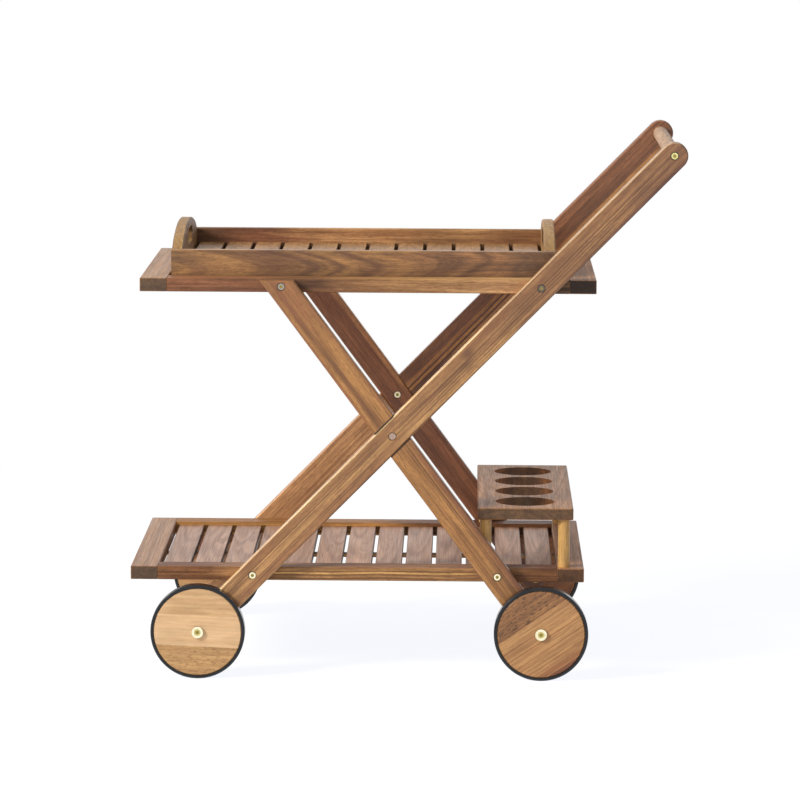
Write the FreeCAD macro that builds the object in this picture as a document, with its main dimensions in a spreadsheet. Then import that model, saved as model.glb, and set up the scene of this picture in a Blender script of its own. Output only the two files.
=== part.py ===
"""Wooden bar cart with crossed legs, a slatted shelf, a lift-out tray and a bottle rack.

Millimetres. +X points to the handle end, +Z is up, and the floor is z = 0. The person who
pushes the cart has the side at -Y on the left hand. The origin is on the floor, under the
middle of the cart's box.
"""
import FreeCAD, Part
import Sketcher
import math
import os
import re

# Driving dimensions
SIZES = {
    "timber_width": 43,
    "timber_thickness": 21.6,
    "timber_arris": 2,
    "frame_arris": 1,
    "frame_length": 723.5,
    "frame_depth": 505.5,
    "top_height": 635,
    "top_bolt_inset": 87.65,
    "shelf_height": 173,
    "shelf_offset": -55.5,
    "slat_count": 13,
    "slat_width": 42.3,
    "slat_thickness": 12,
    "slat_recess": 6,
    "slat_tongue": 5,
    "slat_arris": 1,
    "slat_clearance": 0.2,
    "batten_width": 22,
    "batten_thickness": 5,
    "crossing_height": 387,
    "long_leg_angle": 45.4,
    "short_leg_angle": 53.27,
    "short_leg_trim": 1,
    "lap_clearance": 0.2,
    "rear_axle_shift": 5,
    "wheel_gap": 2,
    "handle_height": 834.5,
    "handle_diameter": 24,
    "wheel_diameter": 150,
    "wheel_thickness": 24,
    "wheel_arris": 1.5,
    "tyre_thickness": 5,
    "tyre_arris": 2,
    "tyre_clearance": 0.05,
    "bush_diameter": 14,
    "bush_proud": 0.5,
    "axle_diameter": 8,
    "axle_clearance": 0.05,
    "axle_head_diameter": 18.5,
    "axle_head_height": 3.5,
    "axle_dish_diameter": 10.5,
    "axle_dish_depth": 0.8,
    "axle_nut_diameter": 20,
    "axle_nut_height": 3,
    "socket_width": 5,
    "socket_depth": 2.5,
    "bolt_diameter": 6,
    "bolt_clearance": 0.1,
    "bolt_grip": 30,
    "head_diameter": 10.5,
    "head_height": 3,
    "counterbore_diameter": 13.5,
    "counterbore_depth": 4,
    "washer_diameter": 20,
    "tray_height": 46.5,
    "tray_board": 18,
    "tray_front_play": 4.2,
    "tray_rear_play": 20.9,
    "tray_side_play": 4,
    "tray_arris": 2,
    "tray_slat_count": 12,
    "tray_batten_thickness": 11,
    "arch_rise": 32.3,
    "arch_shoulder": 57,
    "arch_angle": 11.6,
    "grip_length": 110,
    "grip_height": 26,
    "grip_centre": 52,
    "rack_length": 152,
    "rack_end_gap": 7.25,
    "rack_thickness": 18.8,
    "rack_height": 96,
    "rack_rear_gap": 17.5,
    "rack_arris": 1.5,
    "rack_hole_count": 4,
    "rack_hole_diameter": 95,
    "rack_hole_pitch": 113.5,
    "post_diameter": 18.6,
    "post_inset": 14.5,
    "post_front_inset": 12.3,
    "post_seat": 8,
    "post_clearance": 0.05,
}

# Places worked out from the driving dimensions
PLACES = {
    "opening_length": "frame_length - 2 * timber_width",
    "opening_depth": "frame_depth - 2 * timber_width",
    "rail_face": "frame_depth / 2",
    "leg_in": "rail_face",
    "leg_middle": "leg_in + timber_thickness / 2",
    "leg_out": "leg_in + timber_thickness",
    "lap_width": "timber_width + 2 * lap_clearance",
    "lap_length": "2 * timber_width",
    "bush_in": "leg_out + wheel_gap",
    "bush_out": "bush_in + wheel_thickness + 2 * bush_proud",
    "wheel_in": "bush_in + bush_proud",
    "top_middle": "top_height - timber_thickness / 2",
    "shelf_middle": "shelf_height - timber_thickness / 2",
    "axle_height": "wheel_diameter / 2",
    "long_slope": "1 / tan(long_leg_angle * 1 deg)",
    "short_slope": "1 / tan(short_leg_angle * 1 deg)",
    "shelf_reach": "shelf_offset - frame_length / 2",
    "handle_reach": "(handle_height - crossing_height) * long_slope + timber_width / 2",
    "crossing_x": "-(shelf_reach + handle_reach) / 2",
    "shelf_x": "crossing_x + shelf_offset",
    "handle_x": "crossing_x + (handle_height - crossing_height) * long_slope",
    "top_rear_x": "crossing_x + (top_middle - crossing_height) * long_slope",
    "top_x": "top_rear_x + top_bolt_inset - frame_length / 2",
    "top_front_x": "crossing_x - (top_middle - crossing_height) * short_slope",
    "shelf_front_x": "crossing_x - (crossing_height - shelf_middle) * long_slope",
    "shelf_rear_x": "crossing_x + (crossing_height - shelf_middle) * short_slope",
    "front_axle_x": "crossing_x - (crossing_height - axle_height) * long_slope",
    "rear_foot_x": "crossing_x + (crossing_height - axle_height) * short_slope",
    "rear_axle_x": "rear_foot_x + rear_axle_shift",
    "tray_length": "opening_length - tray_front_play - tray_rear_play",
    "tray_depth": "opening_depth - 2 * tray_side_play",
    "tray_front": "top_x - opening_length / 2 + tray_front_play",
    "tray_base": "top_height - slat_recess",
    "tray_inner_length": "tray_length - 2 * tray_board",
    "tray_inner_depth": "tray_depth - 2 * tray_board",
    "arch_reach": "tray_inner_depth / 2 - arch_shoulder",
    "arch_crown_radius": "arch_reach / sin(arch_angle * 1 deg)",
    "arch_drop": "arch_rise - arch_reach * tan(arch_angle / 2 * 1 deg)",
    "arch_end_angle": "2 * atan(arch_drop / arch_shoulder) - arch_angle * 1 deg",
    "arch_shoulder_radius": "arch_shoulder / (sin(arch_end_angle) - sin(arch_angle * 1 deg))",
    "rack_top": "shelf_height + rack_height",
    "rack_rear": "shelf_x + frame_length / 2 - rack_rear_gap",
    "rack_front": "rack_rear - rack_length",
    "rack_depth": "frame_depth - 2 * rack_end_gap",
    "post_y": "rack_depth / 2 - post_inset",
    "post_front_x": "rack_front + post_front_inset",
    "post_rear_x": "rack_rear - post_inset",
}

SIDES = {"left": -1, "right": 1}
ALONG_Y = FreeCAD.Rotation(FreeCAD.Vector(1, 0, 0), -90)
ALONG_X = FreeCAD.Rotation(FreeCAD.Vector(0, 1, 0), 90)
X_AXIS = FreeCAD.Vector(1, 0, 0)
Y_AXIS = FreeCAD.Vector(0, 1, 0)

# Names for the points and axes that sketch constraints use
START = 1
END = 2
CENTRE = 3
ORIGIN = (-1, 1)
X_LINE = -1
Y_LINE = -2

doc = FreeCAD.newDocument("bar_cart")
sheet = doc.addObject("Spreadsheet::Sheet", "sizes")
nodes = []


def fill_sheet():
    """Writes every driving dimension to the sheet, under its own alias."""
    for row, (name, value) in enumerate(SIZES.items(), 1):
        sheet.set(f"A{row}", name)
        sheet.set(f"B{row}", str(value))
        sheet.setAlias(f"B{row}", name)
    doc.recompute()


def formula(text):
    """Turns the names of sizes and places in a text into references to the sheet."""
    def swap(match):
        word = match.group(0)
        if word in PLACES:
            return f"({formula(PLACES[word])})"
        return f"sizes.{word}" if word in SIZES else word
    return re.sub(r"[a-z_]+", swap, str(text))


def size(name):
    """One number from the sheet."""
    return float(sheet.get(name))


def value(text):
    """What a formula gives with the sheet's numbers."""
    return float(sheet.evalExpression(formula(text)))


def bind(item, **texts):
    """Ties properties to formulas; a double underscore stands for a dot."""
    for path, text in texts.items():
        item.setExpression(path.replace("__", "."), formula(text))


def place(item, x, y, z, turn=None):
    """Puts an object's own origin at a point, with an optional turn."""
    if turn:
        item.Placement = FreeCAD.Placement(FreeCAD.Vector(), turn)
    bind(item, Placement__Base__x=x, Placement__Base__y=y, Placement__Base__z=z)


def node(item, label):
    """Marks an object as a finished sub-part."""
    item.Label = label
    nodes.append(item)
    return item


def box(name, length, width, height, x, y, z):
    """A block from its lowest corner."""
    item = doc.addObject("Part::Box", name)
    bind(item, Length=length, Width=width, Height=height)
    place(item, x, y, z)
    return item


def rod(name, radius, length, x, y, z, turn=None):
    """A round rod from its lower end; it points up unless it is turned."""
    item = doc.addObject("Part::Cylinder", name)
    bind(item, Radius=radius, Height=length)
    place(item, x, y, z, turn)
    return item


def side_rod(name, radius, side, inner, outer, x, z):
    """A rod along Y on one side of the cart, between two distances from the middle plane."""
    low = inner if side > 0 else f"-({outer})"
    return rod(name, radius, f"({outer}) - ({inner})", x, low, z, ALONG_Y)


def group(name, items):
    """Separate solids kept in one object."""
    item = doc.addObject("Part::Compound", name)
    item.Links = items
    return item


def join(name, items):
    """Solids joined into one."""
    item = doc.addObject("Part::MultiFuse", name)
    item.Shapes = items
    return item


def cut(name, base, tools):
    """A solid less one or more tools."""
    item = doc.addObject("Part::Cut", name)
    item.Base = base
    item.Tool = tools[0] if len(tools) == 1 else group(f"{name}_tools", tools)
    return item


def is_along(edge, axis):
    """True for a straight edge that runs along an axis, given as a unit vector."""
    if not isinstance(edge.Curve, Part.Line):
        return False
    return abs(edge.tangentAt(edge.FirstParameter).dot(axis)) > 0.999


def eased(name, base, width, picks):
    """Breaks the edges that the test picks; the width is a named size."""
    doc.recompute()
    item = doc.addObject("Part::Chamfer", name)
    item.Base = base
    amount = size(width)
    chosen = [n for n, edge in enumerate(base.Shape.Edges, 1) if picks(edge)]
    item.Edges = [(n, amount, amount) for n in chosen]
    return item


def eased_along(name, base, width, axis):
    """Breaks the edges that run along one axis."""
    return eased(name, base, width, lambda edge: is_along(edge, axis))


def any_edge(edge):
    return True


def round_edge(edge):
    return isinstance(edge.Curve, Part.Circle)


def sketch_on(body, name, role):
    """A sketch on one of the body's own origin planes."""
    sketch = body.newObject("Sketcher::SketchObject", name)
    plane = next(item for item in body.Origin.OriginFeatures if item.Role == role)
    sketch.AttachmentSupport = [(plane, "")]
    sketch.MapMode = "FlatFace"
    return sketch


def line(sketch, x1, y1, x2, y2):
    start = FreeCAD.Vector(x1, y1, 0)
    return sketch.addGeometry(Part.LineSegment(start, FreeCAD.Vector(x2, y2, 0)), False)


def arc(sketch, x, y, radius, start, end):
    """A sketch arc, with its angles in degrees."""
    circle = Part.Circle(FreeCAD.Vector(x, y, 0), FreeCAD.Vector(0, 0, 1), radius)
    span = Part.ArcOfCircle(circle, math.radians(start), math.radians(end))
    return sketch.addGeometry(span, False)


def fix(sketch, *constraint):
    return sketch.addConstraint(Sketcher.Constraint(*constraint))


def drive(sketch, text, *constraint):
    """A constraint whose value follows a formula."""
    index = fix(sketch, *constraint)
    sketch.setExpression(f"Constraints[{index}]", formula(text))


def pad(body, sketch, name, length):
    """A pad that is as thick on both sides of its sketch."""
    item = body.newObject("PartDesign::Pad", name)
    item.Profile = sketch
    item.SideType = "Symmetric"
    bind(item, Length=length)
    doc.recompute()
    return item


def ease_outline(body, base, name, width, axis):
    """Breaks the outline of a pad's two faces, whose edges lie square to an axis."""
    flat = []
    for n, edge in enumerate(base.Shape.Edges, 1):
        box_size = edge.BoundBox
        spread = (box_size.XLength, box_size.YLength, box_size.ZLength)
        if spread[axis] < 0.001:
            flat.append(f"Edge{n}")
    item = body.newObject("PartDesign::Chamfer", name)
    item.Base = (base, flat)
    bind(item, Size=width)
    body.Tip = item
    return body


def leg_body(name, draw):
    """A leg's bar about the crossing, with its length along the body's X axis."""
    body = doc.addObject("PartDesign::Body", name)
    sketch = sketch_on(body, f"{name}_outline", "XZ_Plane")
    draw(sketch)
    bar = pad(body, sketch, f"{name}_bar", "timber_thickness")
    return ease_outline(body, bar, f"{name}_edges", "timber_arris", 1)


def draw_long_leg(sketch):
    """A bar with two round ends: one about the front axle, the other about the handle."""
    half = size("timber_width") / 2
    low = size("crossing_height")
    high = size("handle_height")
    upper = line(sketch, -low, half, high, half)
    lower = line(sketch, -low, -half, high, -half)
    handle_end = arc(sketch, high, 0, half, -90, 90)
    wheel_end = arc(sketch, -low, 0, half, 90, 270)
    fix(sketch, "Tangent", upper, END, handle_end, END)
    fix(sketch, "Tangent", upper, START, wheel_end, START)
    fix(sketch, "Tangent", lower, END, handle_end, START)
    fix(sketch, "Tangent", lower, START, wheel_end, END)
    fix(sketch, "PointOnObject", handle_end, CENTRE, X_LINE)
    fix(sketch, "PointOnObject", wheel_end, CENTRE, X_LINE)
    drive(sketch, "timber_width / 2", "Radius", handle_end, half)
    drive(sketch, "(handle_height - crossing_height) / sin(long_leg_angle * 1 deg)",
          "DistanceX", *ORIGIN, handle_end, CENTRE, high)
    drive(sketch, "(crossing_height - axle_height) / sin(long_leg_angle * 1 deg)",
          "DistanceX", wheel_end, CENTRE, *ORIGIN, low)


def draw_short_leg(sketch):
    """A bar with a round end about the rear axle and a level cut at the upper frame."""
    half = size("timber_width") / 2
    low = size("crossing_height")
    upper = line(sketch, -low, half, low, half)
    lower = line(sketch, -low - half, -half, low, -half)
    top_end = line(sketch, -low - half, -half, -low, half)
    wheel_end = arc(sketch, low, 0, half, -90, 90)
    fix(sketch, "Tangent", upper, END, wheel_end, END)
    fix(sketch, "Tangent", lower, END, wheel_end, START)
    fix(sketch, "Horizontal", upper)
    fix(sketch, "Horizontal", lower)
    fix(sketch, "Coincident", top_end, START, lower, START)
    fix(sketch, "Coincident", top_end, END, upper, START)
    fix(sketch, "PointOnObject", wheel_end, CENTRE, X_LINE)
    drive(sketch, "timber_width / 2", "Radius", wheel_end, half)
    drive(sketch, "(crossing_height - axle_height) / sin(short_leg_angle * 1 deg)",
          "DistanceX", *ORIGIN, wheel_end, CENTRE, low)
    drive(sketch, "short_leg_angle * 1 deg", "Angle", top_end, math.radians(size("short_leg_angle")))
    rise = "(top_height - short_leg_trim - crossing_height)"
    drive(sketch, f"{rise} / sin(short_leg_angle * 1 deg) - timber_width / 2 * short_slope",
          "DistanceX", top_end, END, *ORIGIN, low)


def bolt_hole(name, side, inner, outer, x, z):
    return side_rod(name, "bolt_diameter / 2 + bolt_clearance", side, inner, outer, x, z)


def counterbore(name, side, inner, outer, x, z):
    return side_rod(name, "counterbore_diameter / 2", side, inner, outer, x, z)


def lap_tool(name, side, inner, outer, across, angle):
    """The band that the other leg takes out of a leg at the crossing, to half the leg's depth.

    across is 1 for a band along the long leg and -1 for one along the short leg.
    """
    low = inner if side > 0 else f"-({outer})"
    item = doc.addObject("Part::Box", name)
    bind(item, Length="lap_length", Width=f"({outer}) - ({inner})", Height="lap_width")
    along = f"cos({angle} * 1 deg)"
    rise = f"sin({angle} * 1 deg)"
    turn = FreeCAD.Rotation(FreeCAD.Vector(0, -across, 0), size(angle))
    place(item, f"crossing_x - lap_length / 2 * {along} + {across} * lap_width / 2 * {rise}", low,
          f"crossing_height - {across} * lap_length / 2 * {rise} - lap_width / 2 * {along}", turn)
    bind(item, Placement__Rotation__Angle=angle)
    return item


def leg_bolt_holes(label, side, bolts):
    """Through holes with a counterbore for the bolt's head in the leg's outer face."""
    tools = []
    for what, (x, z) in bolts.items():
        tools.append(bolt_hole(f"{label}_{what}_hole", side, "leg_in", "leg_out", x, z))
        tools.append(counterbore(f"{label}_{what}_counterbore", side, "leg_out - counterbore_depth",
                                 "leg_out", x, z))
    return tools


def make_long_leg(hand, side):
    """A long leg: handle, upper frame, crossing, shelf and front axle are on its middle line."""
    label = f"long_leg_{hand}"
    blank = leg_body(f"{label}_blank", draw_long_leg)
    turn = FreeCAD.Rotation(FreeCAD.Vector(0, -1, 0), size("long_leg_angle"))
    place(blank, "crossing_x", f"{side} * leg_middle", "crossing_height", turn)
    bind(blank, Placement__Rotation__Angle="long_leg_angle")
    lap = lap_tool(f"{label}_lap", side, "leg_in", "leg_middle", -1, "short_leg_angle")
    lapped = cut(f"{label}_lapped", blank, [lap])
    tools = leg_bolt_holes(label, side, {
        "handle": ("handle_x", "handle_height"),
        "frame": ("top_rear_x", "top_middle"),
        "crossing": ("crossing_x", "crossing_height"),
        "shelf": ("shelf_front_x", "shelf_middle"),
    })
    tools += axle_holes(label, side, "front_axle_x")
    return node(cut(f"{label}_drilled", lapped, tools), label)


def make_short_leg(hand, side):
    """A short leg: upper frame, crossing and shelf are on its middle line."""
    label = f"short_leg_{hand}"
    blank = leg_body(f"{label}_blank", draw_short_leg)
    turn = FreeCAD.Rotation(FreeCAD.Vector(0, 1, 0), size("short_leg_angle"))
    place(blank, "crossing_x", f"{side} * leg_middle", "crossing_height", turn)
    bind(blank, Placement__Rotation__Angle="short_leg_angle")
    lap = lap_tool(f"{label}_lap", side, "leg_middle", "leg_out", 1, "long_leg_angle")
    lapped = cut(f"{label}_lapped", blank, [lap])
    tools = leg_bolt_holes(label, side, {
        "frame": ("top_front_x", "top_middle"),
        "shelf": ("shelf_rear_x", "shelf_middle"),
    })
    tools.append(bolt_hole(f"{label}_crossing_hole", side, "leg_in", "leg_out",
                           "crossing_x", "crossing_height"))
    tools.append(counterbore(f"{label}_crossing_counterbore", side, "leg_in", "leg_in + counterbore_depth",
                             "crossing_x", "crossing_height"))
    tools += axle_holes(label, side, "rear_axle_x")
    return node(cut(f"{label}_drilled", lapped, tools), label)


def axle_holes(label, side, x):
    """The axle's hole through a leg, and the seat of its nut on the inside."""
    hole = side_rod(f"{label}_axle_hole", "axle_diameter / 2 + axle_clearance", side, "leg_in", "leg_out",
                    x, "axle_height")
    seat = side_rod(f"{label}_nut_seat", "axle_nut_diameter / 2 + axle_clearance", side, "leg_in",
                    "leg_in + axle_nut_height", x, "axle_height")
    return [hole, seat]


def make_handle():
    """The round handle bar between the long legs, drilled at its ends for the bolts."""
    bar = rod("handle_blank", "handle_diameter / 2", "2 * leg_in", "handle_x", "-leg_in",
              "handle_height", ALONG_Y)
    holes = [
        bolt_hole(f"handle_{hand}_hole", side, "leg_in - bolt_grip", "leg_in",
                  "handle_x", "handle_height")
        for hand, side in SIDES.items()
    ]
    return node(cut("handle_drilled", bar, holes), "handle_bar")


def make_deck(deck, x, height, middle, bolts):
    """A slatted frame: two rails between two end pieces, slats in the rails' grooves, a batten."""
    base = f"{height} - timber_thickness"
    slat_top = f"{height} - slat_recess"
    groove_low = f"{slat_top} - slat_thickness"
    for hand, side in SIDES.items():
        label = f"{deck}_rail_{hand}"
        low = "-rail_face" if side < 0 else "rail_face - timber_width"
        blank = box(f"{label}_blank", "opening_length", "timber_width", "timber_thickness",
                    f"{x} - opening_length / 2", low, base)
        smooth = eased_along(f"{label}_smooth", blank, "frame_arris", X_AXIS)
        inner = "rail_face - timber_width"
        groove_y = f"-({inner}) - slat_tongue" if side < 0 else inner
        tools = [box(f"{label}_groove", "opening_length", "slat_tongue", "slat_thickness + slat_clearance",
                     f"{x} - opening_length / 2", groove_y, groove_low)]
        for what, bolt_x in bolts.items():
            tools.append(bolt_hole(f"{label}_{what}_hole", side, "rail_face - bolt_grip", "rail_face",
                                   bolt_x, middle))
        if deck == "shelf":
            tools.append(post_seat(f"{label}_post_seat", "post_front_x", side, "shelf_height - post_seat"))
        node(cut(f"{label}_cut", smooth, tools), label)
    make_deck_ends(deck, x, base)
    batten = box(f"{deck}_batten_blank", "opening_length", "batten_width", "batten_thickness",
                 f"{x} - opening_length / 2", "-batten_width / 2", f"{groove_low} - batten_thickness")
    node(batten, f"{deck}_batten")
    slat_length = "opening_depth + 2 * (slat_tongue - slat_clearance)"
    row = slat_row(f"{deck}_slat", "slat_count", "opening_length", f"{x} - opening_length / 2",
                   slat_length, groove_low)
    node(row, f"{deck}_slats")


def make_deck_ends(deck, x, base):
    """The two end pieces of a deck, which run the cart's full depth."""
    starts = {"front": f"{x} - frame_length / 2", "rear": f"{x} + opening_length / 2"}
    for end, start in starts.items():
        label = f"{deck}_end_{end}"
        blank = box(f"{label}_blank", "timber_width", "frame_depth", "timber_thickness",
                    start, "-rail_face", base)
        smooth = eased(f"{label}_smooth", blank, "frame_arris", any_edge)
        if label == "shelf_end_rear":
            seats = [
                post_seat(f"{label}_{hand}_seat", "post_rear_x", side, "shelf_height - post_seat")
                for hand, side in SIDES.items()
            ]
            smooth = cut(f"{label}_cut", smooth, seats)
        node(smooth, label)


def slat_row(name, count, length, x, depth, z):
    """A row of slats across the cart, with a gap at each end and even gaps between."""
    gap = f"(({length}) - {count} * slat_width) / ({count} + 1)"
    slats = []
    for n in range(int(size(count))):
        low_x = f"{x} + {gap} + {n} * (slat_width + {gap})"
        blank = box(f"{name}_{n + 1}_blank", "slat_width", depth, "slat_thickness",
                    low_x, f"-({depth}) / 2", z)
        slats.append(eased_along(f"{name}_{n + 1}", blank, "slat_arris", Y_AXIS))
    return group(f"{name}_row", slats)


def post_seat(name, x, side, z):
    """The hole that a rack post stands in."""
    return rod(name, "post_diameter / 2 + post_clearance", "post_seat", x, f"{side} * post_y", z)


def make_rack():
    """The bottle rack: a board with a row of round holes, on four posts."""
    board = box("rack_blank", "rack_length", "rack_depth", "rack_thickness", "rack_front", "-rack_depth / 2",
                "rack_top - rack_thickness")
    smooth = eased("rack_smooth", board, "rack_arris", any_edge)
    count = int(size("rack_hole_count"))
    tools = []
    for n in range(count):
        y = f"({n} - (rack_hole_count - 1) / 2) * rack_hole_pitch"
        tools.append(rod(f"rack_hole_{n + 1}", "rack_hole_diameter / 2", "rack_thickness",
                         "rack_front + rack_length / 2", y, "rack_top - rack_thickness"))
    for end, x in {"front": "post_front_x", "rear": "post_rear_x"}.items():
        for hand, side in SIDES.items():
            label = f"rack_post_{end}_{hand}"
            tools.append(post_seat(f"{label}_seat", x, side, "rack_top - rack_thickness"))
            post = rod(f"{label}_rod", "post_diameter / 2", "rack_height - rack_thickness + 2 * post_seat",
                       x, f"{side} * post_y", "shelf_height - post_seat")
            node(post, label)
    node(cut("rack_drilled", smooth, tools), "bottle_rack_board")


def draw_tray_end(sketch):
    """The outline of an arched end board: straight sides, two shoulders and a flatter crown.

    The crown meets each shoulder at arch_angle, and one arc from there runs down to the rim.
    """
    half = value("tray_inner_depth / 2")
    rim = size("tray_height")
    top = rim + size("arch_rise")
    reach = value("arch_reach")
    crown = value("arch_crown_radius")
    shoulder = value("arch_shoulder_radius")
    turn = size("arch_angle")
    low_turn = value("arch_end_angle / (1 deg)")
    centre_x = reach - shoulder * math.sin(math.radians(turn))
    centre_y = top - crown + (crown - shoulder) * math.cos(math.radians(turn))
    bottom = line(sketch, -half, 0, half, 0)
    left = line(sketch, -half, 0, -half, rim)
    right = line(sketch, half, 0, half, rim)
    left_arc = arc(sketch, -centre_x, centre_y, shoulder, 90 + turn, 90 + low_turn)
    crown_arc = arc(sketch, 0, top - crown, crown, 90 - turn, 90 + turn)
    right_arc = arc(sketch, centre_x, centre_y, shoulder, 90 - low_turn, 90 - turn)
    fix(sketch, "Coincident", bottom, START, left, START)
    fix(sketch, "Coincident", bottom, END, right, START)
    fix(sketch, "Coincident", left, END, left_arc, END)
    fix(sketch, "Coincident", right, END, right_arc, START)
    fix(sketch, "Tangent", left_arc, START, crown_arc, END)
    fix(sketch, "Tangent", right_arc, END, crown_arc, START)
    fix(sketch, "PointOnObject", bottom, START, X_LINE)
    fix(sketch, "Symmetric", bottom, START, bottom, END, Y_LINE)
    fix(sketch, "Vertical", left)
    fix(sketch, "Vertical", right)
    fix(sketch, "Equal", left, right)
    fix(sketch, "Equal", left_arc, right_arc)
    fix(sketch, "PointOnObject", crown_arc, CENTRE, Y_LINE)
    drive(sketch, "tray_inner_depth", "DistanceX", bottom, START, bottom, END, 2 * half)
    drive(sketch, "tray_height", "DistanceY", left, START, left, END, rim)
    drive(sketch, "arch_crown_radius - tray_height - arch_rise", "DistanceY", crown_arc, CENTRE, *ORIGIN,
          crown - top)
    drive(sketch, "arch_crown_radius", "Radius", crown_arc, crown)
    drive(sketch, "arch_shoulder_radius", "Radius", left_arc, shoulder)


def make_tray_end(end, x):
    """An arched end board of the tray, with its hand slot."""
    label = f"tray_end_{end}"
    body = doc.addObject("PartDesign::Body", f"{label}_blank")
    sketch = sketch_on(body, f"{label}_outline", "YZ_Plane")
    draw_tray_end(sketch)
    board = pad(body, sketch, f"{label}_board", "tray_board")
    ease_outline(body, board, f"{label}_edges", "tray_arris", 0)
    place(body, f"{x} + tray_board / 2", "0", "tray_base")
    straight = "grip_length - grip_height"
    slot = [box(f"{label}_grip", "tray_board", straight, "grip_height", x, f"-({straight}) / 2",
                "tray_base + grip_centre - grip_height / 2")]
    for hand, side in SIDES.items():
        slot.append(rod(f"{label}_grip_{hand}", "grip_height / 2", "tray_board", x,
                        f"{side} * ({straight}) / 2", "tray_base + grip_centre", ALONG_X))
    node(cut(f"{label}_cut", body, [join(f"{label}_slot", slot)]), label)


def make_tray():
    """The loose tray: two arched ends between two sides, and slats on two battens."""
    inside = "tray_front + tray_board"
    make_tray_end("front", "tray_front")
    make_tray_end("rear", "tray_front + tray_length - tray_board")
    for hand, side in SIDES.items():
        low = "-tray_depth / 2" if side < 0 else "tray_depth / 2 - tray_board"
        blank = box(f"tray_side_{hand}_blank", "tray_length", "tray_board", "tray_height",
                    "tray_front", low, "tray_base")
        node(eased_along(f"tray_side_{hand}_smooth", blank, "tray_arris", X_AXIS), f"tray_side_{hand}")
        low = "-tray_inner_depth / 2" if side < 0 else "tray_inner_depth / 2 - batten_width"
        node(box(f"tray_batten_{hand}_blank", "tray_inner_length", "batten_width", "tray_batten_thickness",
                 inside, low, "tray_base"), f"tray_batten_{hand}")
    row = slat_row("tray_slat", "tray_slat_count", "tray_inner_length", inside,
                   "tray_inner_depth - 2 * slat_clearance", "tray_base + tray_batten_thickness")
    node(row, "tray_slats")


def make_wheel(end, hand, side, x):
    """A wheel: a wooden disc with a rubber band round it and a bush in its middle."""
    label = f"{end}_wheel_{hand}"
    rim = "wheel_diameter / 2 - tyre_thickness"
    outer = "wheel_in + wheel_thickness"
    blank = side_rod(f"{label}_blank", f"{rim} - tyre_clearance", side, "wheel_in", outer, x, "axle_height")
    smooth = eased(f"{label}_smooth", blank, "wheel_arris", round_edge)
    bore = side_rod(f"{label}_bore", "bush_diameter / 2", side, "wheel_in", outer, x, "axle_height")
    node(cut(f"{label}_bored", smooth, [bore]), f"{label}_disc")
    band = side_rod(f"{label}_band", "wheel_diameter / 2", side, "wheel_in", outer, x, "axle_height")
    round_band = eased(f"{label}_round_band", band, "tyre_arris", round_edge)
    inside = side_rod(f"{label}_inside", rim, side, "wheel_in", outer, x, "axle_height")
    node(cut(f"{label}_ring", round_band, [inside]), f"{label}_tyre")
    tube = side_rod(f"{label}_tube", "bush_diameter / 2", side, "bush_in", "bush_out", x, "axle_height")
    hole = side_rod(f"{label}_hole", "axle_diameter / 2 + axle_clearance", side, "bush_in", "bush_out",
                    x, "axle_height")
    node(cut(f"{label}_sleeve", tube, [hole]), f"{label}_bush")


def socket(name, side, outer, x, z):
    """The hexagonal key socket in a bolt's head."""
    item = doc.addObject("Part::Prism", name)
    item.Polygon = 6
    bind(item, Circumradius="socket_width / 2 / cos(30 deg)", Height="socket_depth")
    low = f"({outer}) - socket_depth" if side > 0 else f"-({outer})"
    place(item, x, low, z, ALONG_Y)
    return item


def bolt(name, side, heads, shank, x, z):
    """A bolt along Y: heads and shank are each a radius with an inner and an outer distance."""
    solids = [
        side_rod(f"{name}_{what}", radius, side, inner, outer, x, z)
        for what, (radius, inner, outer) in {"head": heads, "shank": shank}.items()
    ]
    head_outer = heads[2]
    return cut(name, join(f"{name}_body", solids), [socket(f"{name}_socket", side, head_outer, x, z)])


def outside_bolt(name, side, tip, x, z):
    """A bolt whose head sits in the counterbore of a leg's outer face."""
    seat = "leg_out - counterbore_depth"
    return bolt(name, side, ("head_diameter / 2", seat, f"{seat} + head_height"),
                ("bolt_diameter / 2", tip, seat), x, z)


def ring(name, side, radius, hole, inner, outer, x, z):
    """A washer or a nut: a short tube along Y."""
    tube = side_rod(f"{name}_tube", radius, side, inner, outer, x, z)
    return cut(name, tube, [side_rod(f"{name}_hole", hole, side, inner, outer, x, z)])


def make_fasteners():
    """Bolts, nuts and washers, with alike ones grouped."""
    rail_tip = "rail_face - bolt_grip"
    sets = {}

    def add(label, item):
        sets.setdefault(label, []).append(item)

    leg_bolts = {
        "long": {"frame": ("top_rear_x", "top_middle"), "shelf": ("shelf_front_x", "shelf_middle")},
        "short": {"frame": ("top_front_x", "top_middle"), "shelf": ("shelf_rear_x", "shelf_middle")},
    }
    for hand, side in SIDES.items():
        for leg, bolts in leg_bolts.items():
            for what, (x, z) in bolts.items():
                add(f"{leg}_leg_bolts", outside_bolt(f"{leg}_{what}_bolt_{hand}", side, rail_tip, x, z))
        add("handle_bolts", outside_bolt(f"handle_bolt_{hand}", side, rail_tip, "handle_x", "handle_height"))
        add_crossing(add, hand, side)
        add_axles(add, hand, side)
    for label, items in sets.items():
        node(group(f"{label}_set", items), label)


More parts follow.
